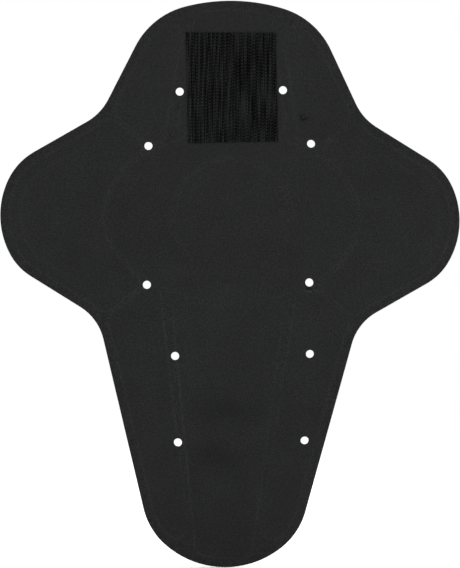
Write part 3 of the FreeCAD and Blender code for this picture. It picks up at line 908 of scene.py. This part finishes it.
def tube(points, radius, sides=5, taper=0.75):
    """Vertices and faces of a thin tube through the points, closed at both ends."""
    vertices, faces = [], []
    for k, point in enumerate(points):
        ahead = points[min(k + 1, len(points) - 1)] - points[max(k - 1, 0)]
        first = ahead.cross(Vector((0, 0, 1)))
        first = (first if first.length > 1e-9 else ahead.cross(Vector((1, 0, 0)))).normalized()
        second = ahead.cross(first).normalized()
        size = radius * (1 - (1 - taper) * k / (len(points) - 1))
        for j in range(sides):
            angle = math.tau * j / sides
            vertices.append(point + (first * math.cos(angle) + second * math.sin(angle)) * size)
    for k in range(len(points) - 1):
        for j in range(sides):
            a, b = k * sides + j, k * sides + (j + 1) % sides
            faces.append((a, b, b + sides, a + sides))
    faces.append(tuple(range(sides))[::-1])
    faces.append(tuple(range(len(vertices) - sides, len(vertices))))
    return vertices, faces


def mesh_piece(name, parts, material):
    """One object from many (vertices, faces) parts."""
    vertices, faces = [], []
    for part_vertices, part_faces in parts:
        first = len(vertices)
        vertices += part_vertices
        faces += [tuple(first + v for v in face) for face in part_faces]
    mesh = bpy.data.meshes.new(name)
    mesh.from_pydata(vertices, [], faces)
    mesh.shade_smooth()
    mesh.set_sharp_from_angle(angle=math.radians(50))
    mesh.materials.append(material)
    piece = bpy.data.objects.new(name, mesh)
    bpy.context.scene.collection.objects.link(piece)
    return piece


def hook(across, up, heading, tall, reach, sag):
    """One nylon hook: a stem that rises from the tape, leans over sideways and turns back down."""
    shape = [(0.0, -0.1), (0.02, 0.5), (0.14, 0.84), (0.42, 1.0), (0.72, 0.95), (0.94, 0.7), (1.0, 0.38)]
    points = []
    for share, height in shape:
        level = TAPE_FACE - tall * height
        points.append(on_tape(across + heading * reach * share, up + sag * share, level))
    return tube(points, HOOK_RADIUS)


def chevrons(chance):
    """Where the chevrons of hooks stand, as (middle of the column, height) pairs."""
    margin = 0.9 * MM
    columns = int(TAPE_WIDTH / HOOK_PITCH)
    side_margin = (TAPE_WIDTH - columns * HOOK_PITCH) / 2
    places = []
    for column in range(columns):
        middle = side_margin + (column + 0.5) * HOOK_PITCH
        up = margin + chance.uniform(0, ROW_PITCH)
        while up < tape_top(middle) - margin:
            places.append((middle, up))
            up += ROW_PITCH * chance.uniform(0.96, 1.04)
    return places


def make_hooks(places, chance, material):
    """Four hooks to each chevron: two lean in from either side, and now and then one is missing."""
    tallest = abs(HOOK_FACE - TAPE_FACE) - HOOK_RADIUS
    parts = []
    for middle, up in places:
        for heading in (-1, 1):
            for beside in (0.0, HOOK_BESIDE):
                tall = tallest * chance.uniform(0.8, 1.0)
                reach = HOOK_REACH * chance.uniform(0.85, 1.1)
                sag = HOOK_SAG * chance.uniform(0.7, 1.2)
                drift = chance.uniform(-HOOK_DRIFT, HOOK_DRIFT)
                if chance.random() > MISSING_HOOKS:
                    foot = middle - heading * HOOK_FOOT
                    parts.append(hook(foot + drift, up + beside + drift, heading, tall, reach, sag))
    return mesh_piece("hook_field", parts, material)


# The weave's depth, the round of the ground's edge, and the painted shade under a chevron: how wide, how low.
WEAVE_DEPTH = 0.22 * MM
GROUND_ROUND = 0.15 * MM
SHADE_REACH = 1.0 * MM
SHADE_DROP = 0.1 * MM


def weave_relief(across, up):
    """Height of a plain weave, from 0 in its pits to 1 on its threads."""
    a, b = across / WARP_PITCH, up / WEFT_PITCH
    u, v = a % 1 - 0.5, b % 1 - 0.5
    over = np.where((np.floor(a) + np.floor(b)) % 2 == 0, 1, -1)
    warp = np.sqrt(np.maximum(0, 1 - (2 * u) ** 2)) * (0.5 + 0.5 * over * np.cos(math.pi * v))
    weft = np.sqrt(np.maximum(0, 1 - (2 * v) ** 2)) * (0.5 - 0.5 * over * np.cos(math.pi * u))
    return np.maximum(warp, weft)


def make_ground(places, material):
    """The woven ground, a closed slab whose face carries the weave, with painted shade under each chevron."""
    across_count = round(TAPE_WIDTH / WARP_PITCH) * 4
    up_count = round(max(TAPE_HEIGHTS) / WEFT_PITCH) * 3
    across = np.linspace(0, TAPE_WIDTH, across_count + 1)
    share = np.linspace(0, 1, up_count + 1)
    across, share = (grid.ravel() for grid in np.meshgrid(across, share))
    up = share * np.array([tape_top(value) for value in across])
    relief = weave_relief(across, up)
    edge = np.minimum(np.minimum(across, TAPE_WIDTH - across), np.minimum(up, up[-1] - up))
    depth = WEAVE_DEPTH * (1 - relief) + dip(np.maximum(edge, 0), GROUND_ROUND)
    points = [on_tape(*place) for place in zip(across, up, TAPE_FACE + depth)]

    # Painted shade: the ground's value falls near each chevron's feet, which darkens its colour.
    tree = KDTree(len(places))
    for k, (middle, height) in enumerate(places):
        tree.insert((middle, height - SHADE_DROP, 0), k)
    tree.balance()
    nearest = np.array([tree.find((a, b, 0))[2] for a, b in zip(across, up)])
    shade = 1 - np.exp(-((nearest / SHADE_REACH) ** 2))

    row = across_count + 1
    corners = [j * row + i for j in range(up_count) for i in range(across_count)]
    faces = [(corner, corner + 1, corner + row + 1, corner + row) for corner in corners]
    rim = list(range(row))
    rim += [j * row + across_count for j in range(1, up_count + 1)]
    rim += [up_count * row + i for i in range(across_count - 1, -1, -1)]
    rim += [j * row for j in range(up_count - 1, 0, -1)]
    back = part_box("tape_weave")[1].y
    first = len(points)
    points += [Vector((points[v].x, back, points[v].z)) for v in rim]
    around = [(k, (k + 1) % len(rim)) for k in range(len(rim))]
    faces += [(rim[b], rim[a], first + a, first + b) for a, b in around]
    faces.append(tuple(range(first + len(rim) - 1, first - 1, -1)))
    ground = mesh_piece("tape_ground", [(points, faces)], material)
    # The weave's height times that painted shade; the material darkens the pits and the ground under the
    # chevrons with it.
    give(ground.data, "relief", np.concatenate([relief * shade, np.full(len(rim), 0.3)]))
    return ground


def make_thread_ends(material):
    """Loose ends of the warp along the tape's two cuts."""
    chance = random.Random(11)
    margin = 0.6 * MM
    radius = 0.11 * MM
    threads = []
    for upper in (False, True):
        across = margin
        while across < TAPE_WIDTH - margin:
            edge = tape_top(across) if upper else 0.0
            out = (1 if upper else -1) * chance.uniform(0.25, 0.8) * MM
            lean = chance.uniform(-0.4, 0.4) * MM
            level = TAPE_FACE + 0.25 * MM
            line = [
                on_tape(across, edge - out * 0.6, level),
                on_tape(across + lean * 0.3, edge + out * 0.4, level),
                on_tape(across + lean, edge + out, level + chance.uniform(-0.1, 0.2) * MM),
            ]
            threads.append(tube(line, radius, sides=4))
            across += chance.uniform(0.5, 1.3) * MM
    ends = mesh_piece("tape_thread_ends", threads, material)
    give(ends.data, "relief", np.full(len(ends.data.vertices), 0.6))
    return ends


def make_tape(cloth, nylon):
    """The woven ground, the loose thread ends at its cuts, and the hooks."""
    chance = random.Random(7)
    places = chevrons(chance)
    ground = make_ground(places, cloth)
    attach(ground, "centre")
    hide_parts("tape_weave")

    ends = make_thread_ends(cloth)
    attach(ends, "centre")

    hooks = make_hooks(places, chance, nylon)
    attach(hooks, "centre")
    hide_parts("tape_hooks")


# ---------------------------------------------------------------- stage, light and camera


def make_floor():
    """A pale floor just below the object, which glows a little, so that it joins the white background."""
    half = 6.0
    mesh = bpy.data.meshes.new("floor")
    low = CAD_BOX[0][2] - 0.5 * MM
    corners = [(-half, -half, low), (half, -half, low), (half, half, low), (-half, half, low)]
    mesh.from_pydata(corners, [], [(0, 1, 2, 3)])
    floor = bpy.data.objects.new("floor", mesh)
    bpy.context.scene.collection.objects.link(floor)
    material = plain_material("pale_floor", (0.92, 0.92, 0.92), 0.8)
    shader = material.node_tree.nodes["Principled BSDF"]
    shader.inputs["Specular IOR Level"].default_value = 0.1
    shader.inputs["Emission Color"].default_value = (1, 1, 1, 1)
    shader.inputs["Emission Strength"].default_value = 0.14
    mesh.materials.append(material)


def make_world():
    """An even white surrounding."""
    world = bpy.data.worlds.new("studio")
    bpy.context.scene.world = world
    world.use_nodes = True
    background = world.node_tree.nodes["Background"]
    background.inputs["Color"].default_value = (1, 1, 1, 1)
    background.inputs["Strength"].default_value = 1.0


def area_light(name, place, size, power):
    """A soft square light that faces the middle of the object."""
    data = bpy.data.lights.new(name, "AREA")
    data.size = size
    data.energy = power
    light = bpy.data.objects.new(name, data)
    light.location = place
    light.rotation_euler = (-Vector(place)).to_track_quat("-Z", "Y").to_euler()
    bpy.context.scene.collection.objects.link(light)


def make_lights():
    """Two lights for the wearer's side and two for the far side."""
    area_light("front_key", (-0.8, -3.0, 1.9), 1.6, 22)
    area_light("front_fill", (1.2, -2.4, 0.2), 0.8, 16)
    area_light("back_key", (0.9, 1.6, 1.7), 1.0, 34)
    area_light("back_fill", (-1.8, 1.6, 0.8), 1.2, 8)


def make_camera():
    """Square on to the wearer's side, far off, with the small roll at which the object was shot."""
    lens, sensor = 300, 36
    view_height = 475.98 * MM
    middle = 1.1 * MM
    roll = math.radians(1.073)
    data = bpy.data.cameras.new("camera")
    data.lens = lens
    data.sensor_width = sensor
    camera = bpy.data.objects.new("camera", data)
    turn = Matrix.Rotation(-roll, 4, "Y") @ Euler((math.radians(90), 0, 0)).to_matrix().to_4x4()
    place = Vector((middle, -view_height * lens / sensor, 0))
    camera.matrix_world = Matrix.Translation(place) @ turn
    bpy.context.scene.collection.objects.link(camera)
    bpy.context.scene.camera = camera


def make_all():
    comfort = foam_material("comfort_foam", (0.0095, 0.0098, 0.00977), 0.3, 0.4)
    lower_foam = foam_material("lower_foam", (0.0105, 0.0108, 0.0112), 0.4, 0.6)
    upper_foam = foam_material("upper_foam", (0.0175, 0.0180, 0.0185), 0.4, 0.6)
    lower = block_plans("lower", LOWER_FACE)
    upper = block_plans("upper", UPPER_FACE)
    make_sheet(comfort, lower)
    make_blocks("lower", LOWER_FACE, UPPER_FACE, LOWER_ROUNDS, 0.0, lower_foam, lower)
    make_blocks("upper", UPPER_FACE, OUTER_FACE, UPPER_ROUNDS, UPPER_CROWN, upper_foam, upper, settle)
    make_tape(weave_material("tape_weave"), nylon_material("hook_nylon"))
    film = NODES["tape_film"]
    film.data.materials.clear()
    film.data.materials.append(plain_material("tape_adhesive", (0.02, 0.02, 0.02), 0.5))
    make_floor()
    make_world()
    make_lights()
    make_camera()
    bpy.context.scene.view_settings.view_transform = "Standard"


make_all()
